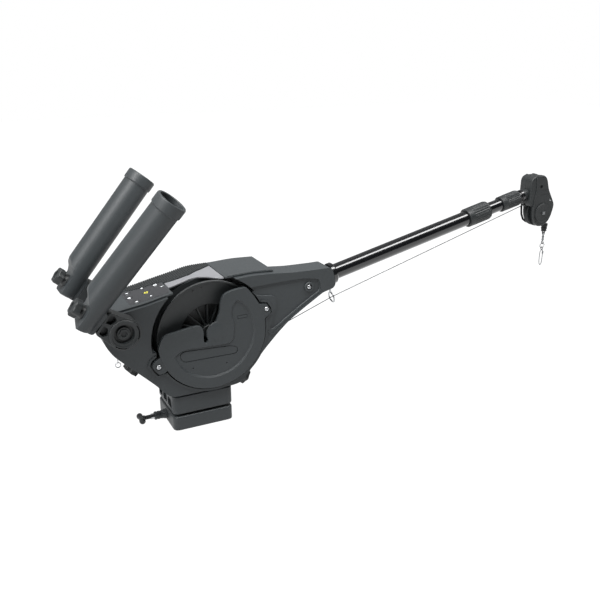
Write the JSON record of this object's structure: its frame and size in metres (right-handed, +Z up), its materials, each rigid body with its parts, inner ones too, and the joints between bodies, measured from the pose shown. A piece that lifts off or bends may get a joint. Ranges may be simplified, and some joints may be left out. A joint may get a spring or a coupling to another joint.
{
  "type": "electric downrigger",
  "caption": "Electric trolling winch with a swivel base, a cable spool, a telescoping boom with a pulley head, a snap terminal and rod holders.",
  "frame": {"origin": "centre of the base plate's underside, on the deck", "axes": "+X out along the boom, +Y away from the spool cover, +Z up"},
  "size_m": [1.0741, 0.2925, 0.4755],
  "materials": {
    "plastic": "satin",
    "dark_plastic": "satin",
    "gloss_plastic": "gloss",
    "black_tube": "gloss",
    "steel": "polished",
    "axle_plastic": "satin",
    "cable_steel": "satin",
    "boot_rubber": "satin",
    "plate_metal": "brushed",
    "key_plastic": "satin",
    "key_accent": "satin",
    "board": "satin"
  },
  "bodies": {
    "base": {"base_plate": "plastic", "pin_nut": "steel", "pivot_bolt": "steel"},
    "lock_pin": {"lock_pin": "dark_plastic"},
    "winch": {"swivel_bracket": "plastic", "housing_foot": "dark_plastic", "housing_near": "plastic", "housing_rear": "plastic", "keypad_panel": "gloss_plastic", "label_plate": "plate_metal", "top_cover": "plastic", "spool_cover": "plastic", "cover_screw_right": "steel", "cover_screw_left": "steel", "boom_screw": "steel", "shaft_bearing": "steel", "gear_motor": "steel", "control_board": "board", "power_inlet": "dark_plastic", "boom_root_ring": "black_tube", "guide_eye": "steel", "boom_outer": "black_tube", "rod_shaft": "steel", "lanyard_ring": "steel", "cable_to_eye": "cable_steel", "cable_run_1": "cable_steel"},
    "clamp_right": {"clamp_knob_right": "dark_plastic"},
    "clamp_left": {"clamp_knob_left": "dark_plastic"},
    "key_down": {"key_down": "key_plastic"},
    "key_stop": {"key_stop": "key_plastic"},
    "key_up": {"key_up": "key_plastic"},
    "key_auto": {"key_auto": "key_accent"},
    "key_power": {"key_power": "key_plastic"},
    "spool": {"spool": "dark_plastic", "cable_layers": "cable_steel", "cable_winding": "cable_steel", "spool_shaft": "steel", "drive_gear": "steel"},
    "pinion": {"motor_pinion": "steel"},
    "middle": {"boom_middle": "black_tube", "cable_run_2": "cable_steel"},
    "collar_1": {"boom_collar_1": "dark_plastic"},
    "collar_2": {"boom_collar_2": "dark_plastic"},
    "inner": {"boom_inner": "black_tube", "cable_run_3": "cable_steel"},
    "head": {"head_far": "plastic", "head_near": "plastic", "pulley_axle": "axle_plastic", "cable_over_pulley": "cable_steel"},
    "wheel": {"pulley_wheel": "dark_plastic"},
    "boot": {"cable_boot": "boot_rubber"},
    "swivel": {"snap_swivel": "steel"},
    "ring": {"split_ring": "steel"},
    "snap": {"cable_snap": "steel"},
    "arm_near": {"rod_arm_near": "plastic"},
    "arm_far": {"rod_arm_far": "plastic"},
    "tube_near": {"rod_tube_near": "plastic"},
    "tube_far": {"rod_tube_far": "plastic"},
    "knob_near": {"rod_knob_near": "dark_plastic"},
    "knob_far": {"rod_knob_far": "dark_plastic"}
  },
  "joints": [
    {"name": "lock_pin_pull", "type": "slide", "parent": "base", "child": "lock_pin", "axis": [-1, 0, 0], "range_m": [0, 0.01], "stiffness_N_per_m": 500, "springref_m": -0.002},
    {"name": "swivel", "type": "hinge", "parent": "base", "child": "winch", "pos_m": [0, 0, 0.03], "axis": [0, 0, 1], "continuous": true},
    {"name": "clamp_right_turn", "type": "hinge", "parent": "winch", "child": "clamp_right", "pos_m": [0.0814, -0.02, 0.08214], "axis": [0.7749, 0, -0.6321], "continuous": true},
    {"name": "clamp_left_turn", "type": "hinge", "parent": "winch", "child": "clamp_left", "pos_m": [-0.10054, 0.035, 0.11551], "axis": [-0.7068, 0, -0.7074], "continuous": true},
    {"name": "key_down_press", "type": "slide", "parent": "winch", "child": "key_down", "axis": [0.1481, 0, -0.989], "range_m": [0, 0.0006], "stiffness_N_per_m": 400, "springref_m": -0.0005},
    {"name": "key_stop_press", "type": "slide", "parent": "winch", "child": "key_stop", "axis": [0.1481, 0, -0.989], "range_m": [0, 0.0006], "stiffness_N_per_m": 400, "springref_m": -0.0005},
    {"name": "key_up_press", "type": "slide", "parent": "winch", "child": "key_up", "axis": [0.1481, 0, -0.989], "range_m": [0, 0.0006], "stiffness_N_per_m": 400, "springref_m": -0.0005},
    {"name": "key_auto_press", "type": "slide", "parent": "winch", "child": "key_auto", "axis": [0.2257, 0, -0.9742], "range_m": [0, 0.0006], "stiffness_N_per_m": 400, "springref_m": -0.0005},
    {"name": "key_power_press", "type": "slide", "parent": "winch", "child": "key_power", "axis": [0.2182, 0, -0.9759], "range_m": [0, 0.0006], "stiffness_N_per_m": 400, "springref_m": -0.0005},
    {"name": "spool_turn", "type": "hinge", "parent": "winch", "child": "spool", "pos_m": [0.021, -0.036, 0.184], "axis": [0, 1, 0], "continuous": true},
    {"name": "pinion_turn", "type": "hinge", "parent": "winch", "child": "pinion", "pos_m": [-0.03838, 0.0006, 0.17353], "axis": [0, 1, 0], "continuous": true},
    {"name": "boom_middle_slide", "type": "slide", "parent": "winch", "child": "middle", "axis": [0.973, 0, 0.2307], "range_m": [0, 0.365], "deforming": ["cable_run_1"]},
    {"name": "boom_inner_slide", "type": "slide", "parent": "middle", "child": "inner", "axis": [0.973, 0, 0.2307], "range_m": [0, 0.365], "deforming": ["cable_run_2"]},
    {"name": "collar_1_turn", "type": "hinge", "parent": "winch", "child": "collar_1", "pos_m": [0.6185, -0.036, 0.34102], "axis": [0.973, 0, 0.2307], "range_deg": [0, 90]},
    {"name": "collar_2_turn", "type": "hinge", "parent": "middle", "child": "collar_2", "pos_m": [0.70607, -0.036, 0.36178], "axis": [0.973, 0, 0.2307], "range_deg": [0, 90]},
    {"name": "head_swivel", "type": "hinge", "parent": "inner", "child": "head", "pos_m": [0.75472, -0.036, 0.37332], "axis": [0.973, 0, 0.2307], "range_deg": [-45, 45], "deforming": ["cable_run_3"]},
    {"name": "pulley_turn", "type": "hinge", "parent": "head", "child": "wheel", "pos_m": [0.8031, -0.036, 0.33402], "axis": [0, 1, 0], "continuous": true},
    {"name": "boot_swing", "type": "hinge", "parent": "head", "child": "boot", "pos_m": [0.8317, -0.036, 0.30317], "axis": [0, 1, 0], "range_deg": [-20, 20], "deforming": ["cable_over_pulley"]},
    {"name": "snap_swivel_swing", "type": "hinge", "parent": "boot", "child": "swivel", "pos_m": [0.8317, -0.036, 0.27962], "axis": [1, 0, 0], "range_deg": [-30, 30]},
    {"name": "split_ring_swing", "type": "hinge", "parent": "swivel", "child": "ring", "pos_m": [0.8317, -0.036, 0.25502], "axis": [0, 1, 0], "range_deg": [-30, 30]},
    {"name": "snap_swing", "type": "hinge", "parent": "ring", "child": "snap", "pos_m": [0.8317, -0.036, 0.24522], "axis": [1, 0, 0], "range_deg": [-30, 30]},
    {"name": "arm_near_tilt", "type": "hinge", "parent": "winch", "child": "arm_near", "pos_m": [-0.148, -0.088, 0.231], "axis": [0, 1, 0], "range_deg": [-35, 30]},
    {"name": "tube_near_roll", "type": "hinge", "parent": "arm_near", "child": "tube_near", "pos_m": [-0.19592, -0.088, 0.26711], "axis": [0.7986, 0, -0.6018], "range_deg": [-13, 20]},
    {"name": "knob_near_turn", "type": "hinge", "parent": "arm_near", "child": "knob_near", "pos_m": [-0.21988, -0.088, 0.28516], "axis": [0.7986, 0, -0.6018], "continuous": true},
    {"name": "arm_far_tilt", "type": "hinge", "parent": "winch", "child": "arm_far", "pos_m": [-0.148, 0.088, 0.231], "axis": [0, 1, 0], "range_deg": [-35, 30]},
    {"name": "tube_far_roll", "type": "hinge", "parent": "arm_far", "child": "tube_far", "pos_m": [-0.19396, 0.088, 0.26957], "axis": [0.766, 0, -0.6428], "range_deg": [-20, 2]},
    {"name": "knob_far_turn", "type": "hinge", "parent": "arm_far", "child": "knob_far", "pos_m": [-0.21694, 0.088, 0.28885], "axis": [0.766, 0, -0.6428], "continuous": true}
  ],
  "couplings": [
    {"joint": "pinion_turn", "follows": "spool_turn", "ratio": -3.2857}
  ]
}
